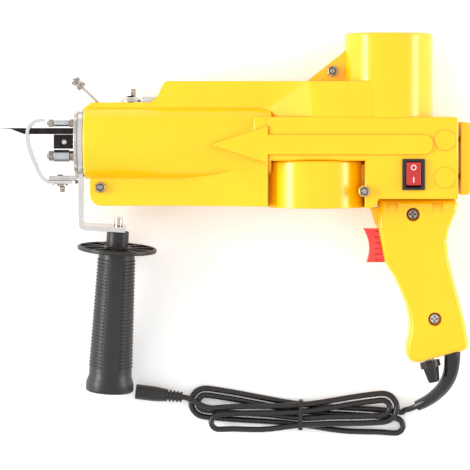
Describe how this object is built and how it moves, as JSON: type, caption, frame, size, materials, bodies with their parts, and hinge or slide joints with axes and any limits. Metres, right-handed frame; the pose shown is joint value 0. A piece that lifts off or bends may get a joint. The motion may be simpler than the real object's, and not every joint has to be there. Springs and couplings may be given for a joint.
{
  "type": "handheld tufting machine",
  "caption": "Handheld electric tufting machine with a reciprocating needle, presser foot, pistol grip with trigger, side handle and hanked cord.",
  "frame": {"origin": "middle of the machine in X and Y without its cord, on the surface that it lies on", "axes": "+X from the needle to the rear cover, +Y from the side handle to the motor housing, +Z away from the surface, out of the left casing half"},
  "size_m": [0.3372, 0.2938, 0.0706],
  "materials": {
    "yellow_plastic": "satin",
    "black_plastic": "fine texture",
    "red_plastic": "satin",
    "rocker_red": "gloss",
    "steel": "bright zinc plated",
    "black_steel": "blackened",
    "motor_steel": "plated",
    "bronze": "sintered",
    "aluminium": "machined",
    "black_rubber": "matt"
  },
  "bodies": {
    "machine": {"casing_left": "yellow_plastic", "casing_right": "yellow_plastic", "rear_cover": "yellow_plastic", "rear_cover_screw_upper": "steel", "rear_cover_screw_lower": "steel", "casing_bolt_front": "steel", "casing_nut_front": "steel", "casing_bolt_top": "steel", "casing_nut_top": "steel", "casing_bolt_rear": "steel", "casing_nut_rear": "steel", "grip_left": "yellow_plastic", "grip_right": "yellow_plastic", "grip_screw_upper": "black_steel", "grip_screw_lower": "black_steel", "crank_axle": "steel", "motor": "motor_steel", "timing_belt": "black_rubber", "slide_bush": "bronze", "front_flange": "steel", "upper_pin": "aluminium", "upper_pin_front_nut": "steel", "upper_pin_rear_nut": "steel", "lower_pin": "aluminium", "lower_pin_front_nut": "steel", "lower_pin_rear_nut": "steel", "foot_washer": "steel", "foot_bolt": "steel", "handle_bracket": "steel", "handle_stud": "steel", "side_handle": "black_plastic", "yarn_guide": "steel", "yarn_guide_inner_nut": "steel", "yarn_guide_outer_nut": "steel", "adjuster_washer": "steel", "adjuster_bolt": "steel", "adjuster_plate": "steel", "switch_body": "black_plastic", "trigger_switch": "black_plastic", "speed_dial": "motor_steel", "strain_relief": "black_rubber", "cord_lead": "black_rubber", "cord_hank": "black_rubber", "cord_tail": "black_rubber", "cord_connector": "black_plastic", "cord_tie": "black_plastic"},
    "crank": {"crank_wheel": "aluminium"},
    "motor_pulley": {"motor_pulley": "aluminium"},
    "needle_carriage": {"needle_carriage": "steel", "needle_clamp": "black_steel", "needle": "black_steel", "clamp_screw": "steel"},
    "connecting_rod": {"connecting_rod": "steel"},
    "presser_foot": {"presser_foot": "steel"},
    "trigger": {"trigger": "red_plastic"},
    "rocker": {"rocker": "rocker_red"},
    "speed_knob": {"speed_knob": "black_plastic"}
  },
  "joints": [
    {"name": "crank_turn", "type": "hinge", "parent": "machine", "child": "crank", "pos_m": [0.0589, 0.03, 0.0353], "axis": [0, 1, 0], "range_deg": [-90, 90]},
    {"name": "motor_pulley_turn", "type": "hinge", "parent": "machine", "child": "motor_pulley", "pos_m": [0.111, 0.03, 0.0353], "axis": [0, 1, 0], "range_deg": [-210, 210]},
    {"name": "needle_stroke", "type": "slide", "parent": "machine", "child": "needle_carriage", "axis": [1, 0, 0], "range_m": [-0.0095, 0.0095]},
    {"name": "rod_swing", "type": "hinge", "parent": "needle_carriage", "child": "connecting_rod", "pos_m": [-0.004, 0.046, 0.0353], "axis": [0, 1, 0], "range_deg": [0, 8.59]},
    {"name": "foot_setting", "type": "slide", "parent": "machine", "child": "presser_foot", "axis": [1, 0, 0], "range_m": [-0.008, 0]},
    {"name": "trigger_pull", "type": "slide", "parent": "machine", "child": "trigger", "axis": [1, 0, 0], "range_m": [0, 0.0045], "stiffness_N_per_m": 300, "springref_m": -0.003},
    {"name": "rocker_switch", "type": "hinge", "parent": "machine", "child": "rocker", "pos_m": [0.1274, 0.0297, 0.0638], "axis": [1, 0, 0], "range_deg": [0, 14]},
    {"name": "speed_setting", "type": "hinge", "parent": "machine", "child": "speed_knob", "pos_m": [0.1403, -0.10318, 0.0353], "axis": [0.225, -0.9744, 0], "range_deg": [-135, 135]}
  ],
  "couplings": [
    {"joint": "crank_turn", "follows": "needle_stroke", "rad_per_m": 165.35},
    {"joint": "motor_pulley_turn", "follows": "needle_stroke", "rad_per_m": 385.81}
  ]
}
